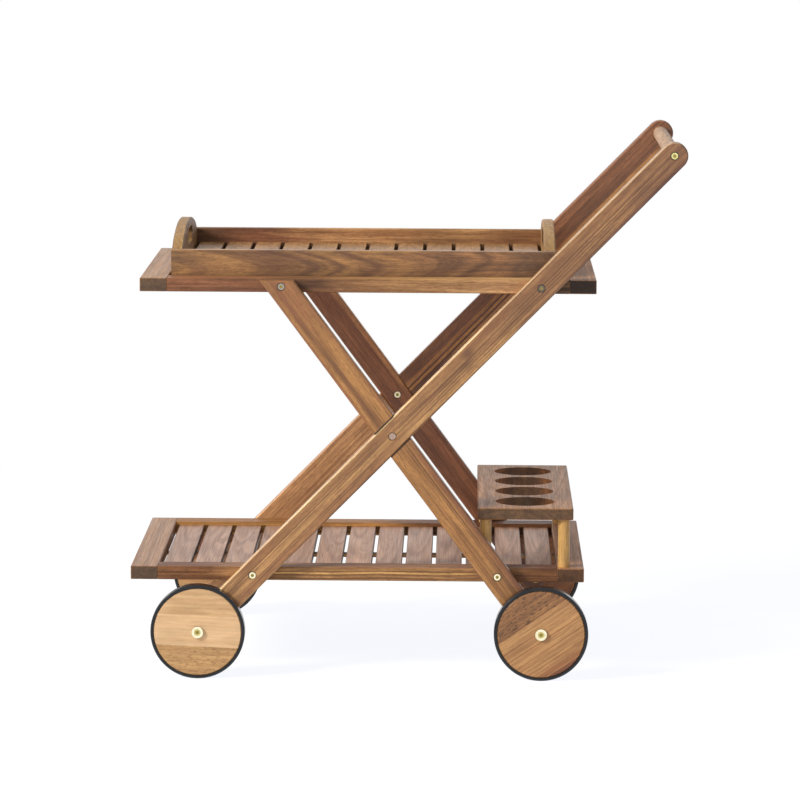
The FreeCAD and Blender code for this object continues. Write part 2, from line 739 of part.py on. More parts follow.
def add_crossing(add, hand, side):
    """The bolt through both legs at the crossing, with its head inside and its nut outside."""
    x = "crossing_x"
    z = "crossing_height"
    seat = "leg_in + counterbore_depth"
    nut_low = "leg_out - counterbore_depth"
    head = ("head_diameter / 2", f"{seat} - head_height", seat)
    shank = ("bolt_diameter / 2", seat, f"{nut_low} + head_height / 2")
    solids = [
        side_rod(f"crossing_{what}_{hand}", radius, side, inner, outer, x, z)
        for what, (radius, inner, outer) in {"head": head, "shank": shank}.items()
    ]
    key = socket(f"crossing_socket_{hand}", side, f"{seat} - head_height + socket_depth", x, z)
    add("crossing_bolts", cut(f"crossing_bolt_{hand}", join(f"crossing_body_{hand}", solids), [key]))
    cap = side_rod(f"crossing_cap_{hand}", "head_diameter / 2", side, nut_low,
                   f"{nut_low} + head_height", x, z)
    well = side_rod(f"crossing_well_{hand}", "bolt_diameter / 2 + bolt_clearance", side, nut_low,
                    f"{nut_low} + head_height / 2", x, z)
    add("crossing_nuts", cut(f"crossing_nut_{hand}", cap, [well]))


def add_axles(add, hand, side):
    """The axle bolts, their nuts, and the washers between wheels and legs."""
    z = "axle_height"
    bore = "axle_diameter / 2 + axle_clearance"
    for end in ("front", "rear"):
        x = f"{end}_axle_x"
        name = f"{end}_axle_{hand}"
        face = "bush_out + axle_head_height"
        head = ("axle_head_diameter / 2", "bush_out", face)
        shank = ("axle_diameter / 2", "leg_in + axle_nut_height / 2", "bush_out")
        plain = bolt(f"{name}_plain", side, head, shank, x, z)
        dish = side_rod(f"{name}_dish", "axle_dish_diameter / 2", side, f"{face} - axle_dish_depth",
                        face, x, z)
        add("axle_bolts", cut(name, plain, [dish]))
        add("axle_nuts", ring(f"{name}_nut", side, "axle_nut_diameter / 2", bore, "leg_in",
                              "leg_in + axle_nut_height", x, z))
        add("wheel_washers", ring(f"{name}_washer", side, "washer_diameter / 2", bore, "leg_out", "bush_in",
                                  x, z))


def make_cart():
    for hand, side in SIDES.items():
        make_long_leg(hand, side)
        make_short_leg(hand, side)
    make_handle()
    make_deck("top", "top_x", "top_height", "top_middle", {"rear": "top_rear_x", "front": "top_front_x"})
    make_deck("shelf", "shelf_x", "shelf_height", "shelf_middle",
              {"front": "shelf_front_x", "rear": "shelf_rear_x"})
    make_rack()
    make_tray()
    for hand, side in SIDES.items():
        make_wheel("front", hand, side, "front_axle_x")
        make_wheel("rear", hand, side, "rear_axle_x")
    make_fasteners()


def check_and_write():
    """Stops on any failed object, then writes one file for each sub-part."""
    doc.recompute()
    for item in doc.Objects:
        if "Invalid" in item.State or "Error" in item.State:
            raise RuntimeError(f"{item.Name} failed: {item.State}")
    os.makedirs("parts", exist_ok=True)
    for item in nodes:
        if item.Shape.isNull() or not item.Shape.isValid():
            raise RuntimeError(f"{item.Label} has no valid shape")
        item.Shape.exportStep(f"parts/{item.Label}.step")
    print(f"{len(nodes)} sub-parts written")


fill_sheet()
make_cart()
check_and_write()
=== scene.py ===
"""Looks of the wooden bar cart: oiled hardwood, zinc-plated bolts, rubber tyres, and a white studio.

Metres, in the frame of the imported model: +X to the handle end, +Z up, floor at z = 0.
"""
import math
import bpy
from mathutils import Matrix, Vector


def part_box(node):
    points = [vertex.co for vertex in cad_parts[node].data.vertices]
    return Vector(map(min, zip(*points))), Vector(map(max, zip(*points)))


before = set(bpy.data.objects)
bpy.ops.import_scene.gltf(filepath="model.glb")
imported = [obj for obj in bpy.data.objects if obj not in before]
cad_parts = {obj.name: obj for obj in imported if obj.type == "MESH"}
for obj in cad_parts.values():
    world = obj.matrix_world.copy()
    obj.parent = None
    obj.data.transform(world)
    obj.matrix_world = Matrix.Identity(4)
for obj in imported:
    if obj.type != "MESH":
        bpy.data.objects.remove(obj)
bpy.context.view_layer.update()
scene = bpy.context.scene
scene.view_settings.view_transform = "Standard"

# Camera, fitted to the photograph's straight edges and bolts
IMAGE_SIZE = 800
FOCAL_PIXELS = 4510.5
SENSOR = 36.0
CAMERA_PLACE = (0.0874, -7.3535, 1.3509)
CAMERA_PITCH = 0.1272
CAMERA_YAW = -0.0139
CAMERA_ROLL = 0.0052

# Where the lamps point
CART_MIDDLE = (0, 0, 0.4)

# Directions of the grain
X_AXIS = Vector((1, 0, 0))
Y_AXIS = Vector((0, 1, 0))
Z_AXIS = Vector((0, 0, 1))


def leaning(degrees):
    """The direction in the cart's side view that rises towards the handle by an angle."""
    angle = math.radians(degrees)
    return Vector((math.cos(angle), 0, math.sin(angle)))


LONG_ANGLE = 45.4
LONG_LEG = leaning(LONG_ANGLE)
LONG_EDGE = leaning(LONG_ANGLE + 90)
SHORT_LEG = leaning(-53.27)
FRONT_WHEEL_GRAIN = leaning(-2.5)
REAR_WHEEL_GRAIN = leaning(34.3)

# Painted shade in the bolts' key sockets and in the dish of the wheel bolts' heads: the distances from
# the middle plane that they lie between, and a colour
SOCKET_PAINTED_SHADE = (146, 128, 70)
LEG_SHADES = [(0.0, 0.2725, SOCKET_PAINTED_SHADE)]
INNER_SHADES = [(0.2545, 1.0, SOCKET_PAINTED_SHADE)]
DISH_PAINTED_SHADE = (196, 184, 116)
WHEEL_SHADES = [(0.0, 0.3036, SOCKET_PAINTED_SHADE), (0.3036, 0.3045, DISH_PAINTED_SHADE)]

# Painted shade in the grooves of the joints between the legs
SEAM_PAINTED_SHADE = (34, 22, 16)


def colour(red, green, blue):
    """A display colour, 0 to 255, as a linear colour."""
    def linear(value):
        share = value / 255
        return share / 12.92 if share <= 0.04045 else ((share + 0.055) / 1.055) ** 2.4
    return (linear(red), linear(green), linear(blue), 1.0)


class Tree:
    """The node tree of one new material, with short calls for its nodes."""

    def __init__(self, name):
        self.material = bpy.data.materials.new(name)
        self.material.use_nodes = True
        self.nodes = self.material.node_tree.nodes
        self.links = self.material.node_tree.links
        self.nodes.clear()
        self.surface = self.nodes.new("ShaderNodeOutputMaterial")

    def set(self, socket, value):
        """Links an output to a socket, or sets the socket to a value."""
        if isinstance(value, bpy.types.NodeSocket):
            self.links.new(value, socket)
        else:
            socket.default_value = value

    def add(self, kind, result=0, settings=None, **inputs):
        """Adds a node and returns one of its outputs; inputs are named or numbered as in1, in2."""
        node = self.nodes.new(kind)
        for key, value in (settings or {}).items():
            setattr(node, key, value)
        for key, value in inputs.items():
            number = key[2:]
            numbered = key.startswith("in") and number.isdigit()
            self.set(node.inputs[int(number) if numbered else key], value)
        return node.outputs[result]

    def place(self):
        """The place on the object, in metres."""
        return self.add("ShaderNodeTexCoord", "Object")

    def math(self, operation, first, second=0.0):
        return self.add("ShaderNodeMath", 0, {"operation": operation}, in0=first, in1=second)

    def plus(self, first, second):
        return self.math("ADD", first, second)

    def less(self, first, second):
        return self.math("SUBTRACT", first, second)

    def times(self, first, second):
        return self.math("MULTIPLY", first, second)

    def vector(self, operation, first, second=(0.0, 0.0, 0.0), result="Vector"):
        return self.add("ShaderNodeVectorMath", result, {"operation": operation}, in0=first, in1=second)

    def dot(self, first, second):
        return self.vector("DOT_PRODUCT", first, second, "Value")

    def length(self, first):
        return self.vector("LENGTH", first, result="Value")

    def join(self, first, second, third):
        return self.add("ShaderNodeCombineXYZ", 0, None, in0=first, in1=second, in2=third)

    def split(self, vector):
        """The three parts of a vector."""
        node = self.nodes.new("ShaderNodeSeparateXYZ")
        self.links.new(vector, node.inputs[0])
        return node.outputs["X"], node.outputs["Y"], node.outputs["Z"]

    def mix(self, factor, first, second, blend="MIX"):
        """Mixes two colours; this node repeats its sockets' names, so they go by number."""
        settings = {"data_type": "RGBA", "blend_type": blend, "clamp_factor": True}
        return self.add("ShaderNodeMix", 2, settings, in0=factor, in6=first, in7=second)

    def mix_values(self, factor, first, second):
        return self.add("ShaderNodeMix", 0, {"data_type": "FLOAT"}, in0=factor, in2=first, in3=second)

    def tint(self, tone, paint):
        """Multiplies one colour by another."""
        return self.mix(1.0, tone, paint, "MULTIPLY")

    def spread(self, value, low, high, to_low=0.0, to_high=1.0):
        """Maps a range of values to another, with soft ends."""
        return self.add("ShaderNodeMapRange", 0, {"interpolation_type": "SMOOTHSTEP"},
                        in0=value, in1=low, in2=high, in3=to_low, in4=to_high)

    def noise(self, place, scale=1.0, detail=2.0, roughness=0.5):
        return self.add("ShaderNodeTexNoise", 0, {"noise_dimensions": "3D"},
                        Vector=place, Scale=scale, Detail=detail, Roughness=roughness)

    def wander(self, value, detail=2.0):
        """Uneven values, 0 to 1, along one line."""
        return self.add("ShaderNodeTexNoise", 0, {"noise_dimensions": "1D"},
                        W=value, Scale=1.0, Detail=detail, Roughness=0.55)

    def bump(self, strength, distance, height):
        return self.add("ShaderNodeBump", 0, None, Strength=strength, Distance=distance, Height=height)

    def finish(self, **inputs):
        """Ends the material with a principled shader."""
        shader = self.add("ShaderNodeBsdfPrincipled", 0, None, **inputs)
        self.links.new(shader, self.surface.inputs["Surface"])
        return self.material


def look(pale, middle, dark, **changes):
    """One kind of timber: three colours, and how its figure is drawn.

    rings is the share of the growth rings in the figure and ring_width their width; stripe_scale is the
    number of stripes in a metre; streak and line are the strengths of broad and of narrow dark streaks;
    fibre, pore and fleck are those of the finest marks. sway bends the figure, and a draw under 1 lengthens
    all its marks along the grain. vary is how much the slats of a row differ. rough is the roughness and
    shine the strength of the oil's gloss. end tints the ends of the fibres. crown tints the upper and lower
    faces, as painted light above 1 and painted shade below 1; flank darkens the faces to both sides as
    painted shade; and arris brightens the rounded upper edges as a painted highlight. Bands leave plain
    flanks as they are.
    """
    timber = {
        "pale": colour(*pale), "middle": colour(*middle), "dark": colour(*dark),
        "rings": 0.0, "ring_width": 0.006, "stripe_scale": 170.0, "streak": 0.4, "line": 0.4,
        "fibre": 0.55, "pore": 0.35, "fleck": 0.3, "sway": 0.006, "draw": 1.0, "vary": 0.12,
        "rough": 0.38, "shine": 0.45, "end": (0.42, 0.42, 0.40, 1.0), "crown": None, "flank": None,
        "arris": None, "plain_flanks": False,
    }
    timber.update(changes)
    return timber


# Marks of the wood: cycles for each metre along and across the grain, detail and roughness of the noise, and
# the range of it that shows
MARKS = {
    "line": (5.0, 420.0, 3.0, 0.5, 0.53, 0.64),
    "streak": (2.5, 50.0, 2.0, 0.5, 0.42, 0.68),
    "mottle": (15.0, 70.0, 2.0, 0.5, 0.3, 0.7),
    "fibre": (40.0, 520.0, 4.0, 0.65, 0.22, 0.78),
    "pore": (60.0, 900.0, 2.0, 0.5, 0.56, 0.7),
    "fleck": (130.0, 480.0, 2.0, 0.5, 0.52, 0.64),
    "band": (9.0, 120.0, 2.0, 0.5, 0.25, 0.6),
}
FIBRE_DARK = (0.58, 0.54, 0.50, 1.0)
FIBRE_PALE = (1.42, 1.42, 1.42, 1.0)
MOTTLE_DARK = (0.88, 0.87, 0.86, 1.0)
MOTTLE_PALE = (1.1, 1.1, 1.1, 1.0)

# Stripes: cycles for each metre along the grain, detail and roughness of the noise, and the range that shows
STRIPE_CYCLES = 5.0
STRIPE_DETAIL = 3.0
STRIPE_ROUGHNESS = 0.6
STRIPE_RANGE = (0.35, 0.65)
RING_DETAIL = 4.0

# Slow bends of the figure: cycles for each metre along the grain and both ways across it
SWAY_CYCLES = (2.5, 18.0, 18.0)
SWAY_DETAIL = 1.5

# Cosines between which a face begins to count as an end, as an upper or lower face, or as a side, and
# between which a rounded edge leaves the side and reaches the upper face
END_COSINES = (0.6, 0.95)
CROWN_COSINES = (0.6, 0.95)
FLANK_COSINES = (0.15, 0.6)
EDGE_START = (0.1, 0.4)
EDGE_END = (0.88, 0.98)

# Longest soft end of a band, how far it sways and in how many cycles for each metre, the share of its half
# width that has its full colour, and the least strength where it is broken
BAND_FADE = 0.06
BAND_SWAY = 0.005
BAND_CYCLES = 3.0
BAND_CORE = 0.35
BAND_LEAST = 0.45

# The same share for a seam, and a seam's strength
SEAM_CORE = 0.5
SEAM_STRENGTH = 0.9

# Factors that make the chance value of a slat differ from use to use, and how far they shift the pith
CHANCE_RANGE = 37.0
PITH_CHANCE = 5.3
SHADE_CHANCE = 2.7
PITH_SHIFT = 0.03

# Unevenness of a change of colour along a piece, in metres, and its cycles for each metre along and across
SHIFT_UNEVENNESS = 0.25
SHIFT_CYCLES = (6.0, 60.0)

# Relief of the wood, and the change of its roughness from fibre to fibre
RELIEF_STRENGTH = 0.14
RELIEF_DEPTH = 0.0004
PORE_RELIEF = -0.6
FIBRE_GLOSS = 0.06
FIBRE_RANGE = (0.2, 0.8)


class Grain:
    """A material's place along and across the grain of one piece of wood."""

    def __init__(self, tree, grain, centre, seed, slat_pitch, draw):
        self.tree = tree
        self.draw = draw
        self.grain = grain
        upright = Z_AXIS.cross(grain).length < 0.01
        self.across = Y_AXIS.copy() if upright else Z_AXIS.cross(grain).normalized()
        self.upward = grain.cross(self.across).normalized()
        self.local = tree.vector("SUBTRACT", tree.place(), tuple(centre))
        self.along = self.reach(grain)
        self.side = self.reach(self.across)
        self.height = self.reach(self.upward)
        self.chance = 0.0
        if slat_pitch:
            self.split_slats(slat_pitch)
        self.start = tree.plus(tree.plus(self.along, seed), self.chance)
        self.point = tree.join(self.start, self.side, self.height)

    def reach(self, direction):
        """Distance from the centre along a direction."""
        return self.tree.dot(self.local, tuple(direction))

    def facing(self, direction):
        """Cosine between a face and a direction."""
        return self.tree.dot(self.tree.add("ShaderNodeTexCoord", "Normal"), tuple(direction))

    def faces(self, direction, cosines):
        """1 on faces that look along a direction or against it, 0 on the rest, softly between two cosines."""
        return self.tree.spread(self.tree.math("ABSOLUTE", self.facing(direction)), *cosines)

    def upper_edges(self):
        """1 on the rounded edges of the upper face, where a painted highlight goes, and 0 on flat faces."""
        facing = self.facing(self.upward)
        rise = self.tree.spread(facing, *EDGE_START)
        return self.tree.times(rise, self.tree.spread(facing, *EDGE_END, 1.0, 0.0))

    def split_slats(self, pitch):
        """Gives each slat of a row its own middle and its own chance value."""
        tree = self.tree
        self.chance = tree.times(tree.add("ShaderNodeNewGeometry", "Random Per Island"), CHANCE_RANGE)
        cell = tree.math("FRACT", tree.plus(tree.math("DIVIDE", self.side, pitch), 0.5))
        self.side = tree.times(tree.less(cell, 0.5), pitch)

    def slat_chance(self, factor):
        """A value from 0 to 1 of each slat, and another one for each factor."""
        return self.tree.math("FRACT", self.tree.times(self.chance, factor))

    def lines(self, along, across, detail=2.0, roughness=0.5):
        """Noise drawn out along the grain, in cycles for each metre."""
        place = self.tree.vector("MULTIPLY", self.point, (along * self.draw, across, across))
        return self.tree.noise(place, 1.0, detail, roughness)

    def mark(self, name, least=0.0):
        """1 where a mark of the wood shows, and the least value elsewhere."""
        along, across, detail, roughness, low, high = MARKS[name]
        return self.tree.spread(self.lines(along, across, detail, roughness), low, high, least, 1.0)

    def bend(self, amount):
        """Sways the place across the grain, slowly along it."""
        tree = self.tree
        slow = tree.vector("MULTIPLY", self.point, SWAY_CYCLES)
        drift = tree.add("ShaderNodeTexNoise", "Color", None, Vector=slow, Scale=1.0, Detail=SWAY_DETAIL)
        drift = tree.vector("SUBTRACT", drift, (0.5, 0.5, 0.5))
        drift = tree.vector("MULTIPLY", drift, (0.0, amount, amount))
        self.point = tree.vector("ADD", self.point, drift)

    def ring_lines(self, ring_width, pith, tilt, seed):
        """Growth rings about a pith line, given across the grain, which leans both ways along it."""
        tree = self.tree
        side, height = tree.split(self.point)[1:]
        lean = [tree.times(self.along, slope) for slope in tilt]
        shift = tree.times(tree.less(self.slat_chance(PITH_CHANCE), 0.5), PITH_SHIFT)
        from_side = tree.less(tree.less(tree.plus(side, shift), pith[0]), lean[0])
        from_height = tree.less(tree.less(height, pith[1]), lean[1])
        radius = tree.length(tree.join(0.0, from_side, from_height))
        ring = tree.plus(tree.math("DIVIDE", radius, ring_width), tree.plus(self.chance, seed))
        return tree.wander(ring, RING_DETAIL)


def shifted_tones(tree, place, timber, shifts):
    """A timber's three colours and its flecks' strength, turned to other timbers' along the piece."""
    tones = {key: timber[key] for key in ("pale", "middle", "dark")}
    fleck_strength = timber["fleck"]
    for which, start, end, other in shifts:
        unevenness = 0.0 if which == "height" else SHIFT_UNEVENNESS
        uneven = tree.times(tree.less(place.lines(*SHIFT_CYCLES), 0.5), unevenness)
        share = tree.spread(tree.plus(getattr(place, which), uneven), start, end)
        tones = {key: tree.mix(share, tones[key], other[key]) for key in tones}
        fleck_strength = tree.mix_values(share, fleck_strength, other["fleck"])
    return tones, fleck_strength


def draw_bands(tree, place, tone, bands, plain_flanks):
    """Draws darker or paler lines along the grain."""
    drift = tree.less(tree.wander(tree.times(place.start, BAND_CYCLES)), 0.5)
    banded = tree.less(1.0, place.faces(place.across, FLANK_COSINES)) if plain_flanks else 1.0
    for height, half, paint, strength, start, end in bands:
        middle = tree.plus(height, tree.times(drift, BAND_SWAY))
        distance = tree.math("ABSOLUTE", tree.less(place.height, middle))
        near = tree.spread(distance, half * BAND_CORE, half, strength, 0.0)
        fade = min(BAND_FADE, (end - start) / 2)
        run = tree.spread(place.along, start, start + fade)
        run = tree.times(run, tree.spread(place.along, end - fade, end, 1.0, 0.0))
        run = tree.times(run, banded)
        broken = place.mark("band", BAND_LEAST)
        tone = tree.mix(tree.times(tree.times(near, run), broken), tone, colour(*paint))
    return tone


def draw_seams(tree, place, tone, seams):
    """Draws painted shade along the joints with other pieces: dark lines in their grooves."""
    for direction, distance, half in seams:
        away = tree.math("ABSOLUTE", tree.less(place.reach(direction), distance))
        share = tree.spread(away, half * SEAM_CORE, half, SEAM_STRENGTH, 0.0)
        tone = tree.mix(share, tone, colour(*SEAM_PAINTED_SHADE))
    return tone


def vary_slats(tree, place, tone, vary):
    """Makes each slat of a row a little darker or paler."""
    level = tree.spread(place.slat_chance(SHADE_CHANCE), 0.0, 1.0, 1 - vary, 1 + vary)
    grey = tree.add("ShaderNodeCombineColor", 0, None, in0=level, in1=level, in2=level)
    return tree.tint(tone, grey)


def tint_faces(tree, place, tone, timber):
    """Tints the ends; paints light and shade on upper and lower faces, shade on sides, a highlight on upper
    edges.
    """
    facing = {
        "end": (place.grain, END_COSINES),
        "crown": (place.upward, CROWN_COSINES),
        "flank": (place.across, FLANK_COSINES),
    }
    for key, (direction, cosines) in facing.items():
        if timber[key]:
            tone = tree.mix(place.faces(direction, cosines), tone, tree.tint(tone, timber[key]))
    if timber["arris"]:
        tone = tree.mix(place.upper_edges(), tone, tree.tint(tone, timber["arris"]))
    return tone


def wood(name, timber, grain, centre, seed=0.0, pith=(0.01, -0.05), tilt=(0.0, 0.0), slat_pitch=None,
         shifts=(), bands=(), seams=()):
    """Solid oiled hardwood with fibres along the grain and darker ends.

    shifts are (coordinate, start, end, timber): the colours turn to another timber's along it.
    bands are (height, half width, colour, strength, start, end): a darker or paler line along the grain.
    seams are (direction, distance, half width): painted shade along a joint with another piece.
    """
    tree = Tree(name)
    place = Grain(tree, grain, centre, seed, slat_pitch, timber["draw"])
    place.bend(timber["sway"])
    tones, fleck_strength = shifted_tones(tree, place, timber, shifts)
    stripe = place.lines(STRIPE_CYCLES, timber["stripe_scale"], STRIPE_DETAIL, STRIPE_ROUGHNESS)
    if timber["rings"]:
        rings = place.ring_lines(timber["ring_width"], pith, tilt, seed)
        stripe = tree.mix_values(timber["rings"], stripe, rings)
    tone = tree.mix(tree.spread(stripe, *STRIPE_RANGE), tones["pale"], tones["middle"])
    for mark in ("streak", "line"):
        tone = tree.mix(tree.times(place.mark(mark), timber[mark]), tone, tones["dark"])
    tone = draw_bands(tree, place, tone, bands, timber["plain_flanks"])
    fibre = place.mark("fibre")
    tone = tree.mix(timber["fibre"], tone, tree.mix(fibre, FIBRE_DARK, FIBRE_PALE), "MULTIPLY")
    tone = tree.tint(tone, tree.mix(place.mark("mottle"), MOTTLE_DARK, MOTTLE_PALE))
    pore = place.mark("pore")
    tone = tree.mix(tree.times(pore, timber["pore"]), tone, tones["dark"])
    tone = tree.mix(tree.times(place.mark("fleck"), fleck_strength), tone, tones["dark"])
    tone = draw_seams(tree, place, tone, seams)
    if slat_pitch:
        tone = vary_slats(tree, place, tone, timber["vary"])
    tone = tint_faces(tree, place, tone, timber)
    relief = tree.plus(fibre, tree.times(pore, PORE_RELIEF))
    bump = tree.bump(RELIEF_STRENGTH, RELIEF_DEPTH, relief)
    rough = tree.spread(fibre, *FIBRE_RANGE, timber["rough"] + FIBRE_GLOSS, timber["rough"] - FIBRE_GLOSS)
    return tree.finish(**{"Base Color": tone, "Roughness": rough, "Normal": bump,
                          "Specular IOR Level": timber["shine"]})


# Timbers: pale, middle and dark colours as they look in plain light
# The near long leg: its upper and lower faces are lightened as painted light, and its rounded upper edges
# further as a painted highlight.
STRIPED = look((198, 151, 96), (162, 117, 74), (106, 66, 41), rough=0.3, crown=(1.5, 1.55, 1.45, 1.0),
               arris=(1.7, 2.3, 3.0, 1.0))
STRIPED_TOP = look((173, 127, 81), (141, 99, 63), (94, 58, 38))
GOLDEN = look((178, 127, 72), (148, 101, 57), (104, 65, 36), rough=0.33)
REDDISH = look((186, 122, 78), (150, 95, 61), (98, 58, 38))
REDDISH_LOW = look((152, 99, 67), (122, 78, 53), (84, 50, 34))
FAR_RED = look((154, 101, 66), (122, 79, 51), (82, 49, 33))
# The far long leg's rounded upper edges are brightened: a painted highlight.
FAR_GOLDEN = look((202, 152, 102), (162, 115, 75), (108, 70, 44), arris=(1.5, 1.6, 1.8, 1.0))
# The upper and lower faces of the top rails and the far tray side are lightened: painted sheen.
RAIL_RED = look((138, 90, 61), (108, 70, 48), (75, 43, 30), rough=0.5, shine=0.25,
                crown=(1.55, 1.65, 1.55, 1.0))
RAIL_GOLD = look((192, 145, 95), (152, 111, 72), (98, 64, 41), stripe_scale=230.0, rough=0.5, shine=0.25)
RAIL_PALE = look((204, 157, 108), (164, 122, 83), (106, 71, 47))
# The near shelf rail's upper and lower faces are darkened: painted shade.
RAIL_DARK = look((135, 90, 56), (108, 71, 45), (66, 39, 26), line=0.6, rough=0.5, shine=0.25,
                 crown=(0.85, 0.75, 0.75, 1.0))
# The far shelf rail's upper and lower faces are darkened: painted shade.
FAR_SHELF_RAIL = look((214, 160, 90), (182, 130, 72), (118, 76, 44), rough=0.5, shine=0.25,
                      crown=(0.8, 0.74, 0.8, 1.0))
# The near tray side's upper and lower faces are lightened: a painted highlight along its top edge.
TRAY_SIDE = look((172, 125, 72), (114, 76, 46), (74, 46, 29), rings=0.7, ring_width=0.0055, sway=0.03,
                 line=0.25, crown=(1.5, 1.6, 1.7, 1.0))
TRAY_OLIVE = look((170, 120, 74), (106, 71, 43), (64, 42, 27))
# The tray ends' upper and lower faces are lightened: painted sheen.
TRAY_END = look((174, 134, 78), (154, 114, 64), (110, 76, 44), rings=0.5, rough=0.5, line=0.2, shine=0.35,
                end=(0.84, 0.76, 0.66, 1.0), crown=(1.2, 1.25, 1.28, 1.0), plain_flanks=True)
# The front tray end's inner and outer faces are darkened: painted shade.
TRAY_END_FRONT = dict(TRAY_END, flank=(0.6, 0.57, 0.6, 1.0))
# The slats' sides, in the gaps between them, are darkened: painted shade.
SLAT = look((196, 154, 126), (162, 121, 96), (110, 73, 55), rings=0.85, ring_width=0.0055, streak=0.15,
            line=0.22, fibre=0.3, pore=0.14, fleck=0.08, draw=0.2, rough=0.42, flank=(0.3, 0.26, 0.24, 1.0))
END_PIECE = look((186, 141, 97), (160, 117, 78), (114, 76, 48), draw=0.2, line=0.35, fibre=0.45, rough=0.44,
                 end=(0.23, 0.22, 0.20, 1.0))
# Its end grain is far darker than the other end pieces': partly real end grain and partly painted shade
# beside the long leg.
DARK_PIECE = look((180, 132, 94), (154, 110, 77), (110, 74, 50), draw=0.2, line=0.35, rough=0.5, shine=0.3,
                  end=(0.075, 0.063, 0.056, 1.0))
SHELF_FRONT = dict(END_PIECE, pale=colour(180, 135, 97), middle=colour(154, 112, 79))
# Its colours are set a little darker and warmer, the darkness as painted shade from the bottle rack.
SHELF_REAR = look((183, 131, 90), (156, 111, 76), (106, 70, 46), draw=0.2, line=0.35, rough=0.5, shine=0.3,
                  end=(0.28, 0.26, 0.24, 1.0))
# The tray slats' sides, in the gaps between them, are darkened: painted shade.
TRAY_SLAT = look((190, 144, 92), (158, 114, 71), (112, 74, 45), rings=0.7, ring_width=0.005, streak=0.25,
                 line=0.3, fibre=0.4, pore=0.2, fleck=0.12, draw=0.2, flank=(0.2, 0.17, 0.15, 1.0))
# The rack board's sides are darkened: painted shade.
RACK = look((198, 144, 96), (162, 113, 72), (108, 71, 45), rings=0.5, ring_width=0.006, draw=0.3, rough=0.46,
            shine=0.4, end=(0.28, 0.29, 0.28, 1.0), flank=(0.62, 0.56, 0.52, 1.0))
POST = look((220, 176, 104), (202, 156, 88), (158, 112, 60), streak=0.3, line=0.2)
HANDLE = look((192, 154, 119), (176, 138, 105), (146, 110, 81), streak=0.2, line=0.2, rough=0.5, shine=0.35)
WHEEL_PALE = look((221, 183, 139), (209, 170, 125), (168, 120, 80), fleck=0.05)
WHEEL_WARM = look((211, 173, 127), (197, 156, 110), (154, 108, 70), fleck=0.12)
WHEEL_BROWN = look((198, 157, 106), (176, 134, 86), (128, 88, 52), streak=0.12, line=0.06, fibre=0.16,
                   pore=0.08, fleck=0.5)
WHEEL_GOLD = look((200, 151, 98), (175, 127, 81), (122, 81, 49), fleck=0.15)
WHEEL_DARK = look((172, 123, 76), (135, 92, 58), (84, 55, 35), fleck=0.85)
WHEEL_RED = look((190, 126, 80), (166, 106, 64), (118, 72, 44), fleck=0.3)
WHEEL_EDGE = look((146, 92, 58), (118, 72, 46), (80, 46, 30), streak=0.25, line=0.3, fibre=0.4)


def dress(node, material):
    """Gives a CAD node one material."""
    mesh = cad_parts[node].data
    mesh.materials.clear()
    mesh.materials.append(material)


def middle_of(node):
    """The middle of a CAD node's box."""
    low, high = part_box(node)
    return (low + high) / 2


def dress_wood(node, timber, grain, **changes):
    """Gives a CAD node wood whose figure is measured from its own middle."""
    dress(node, wood(f"wood_{node}", timber, grain, middle_of(node), **changes))


def dress_leg(node, timber, grain, **changes):
    """Gives a leg wood whose figure is measured from the crossing of the legs."""
    crossing = middle_of("crossing_bolts")
    centre = Vector((crossing.x, middle_of(node).y, crossing.z))
    dress(node, wood(f"wood_{node}", timber, grain, centre, **changes))


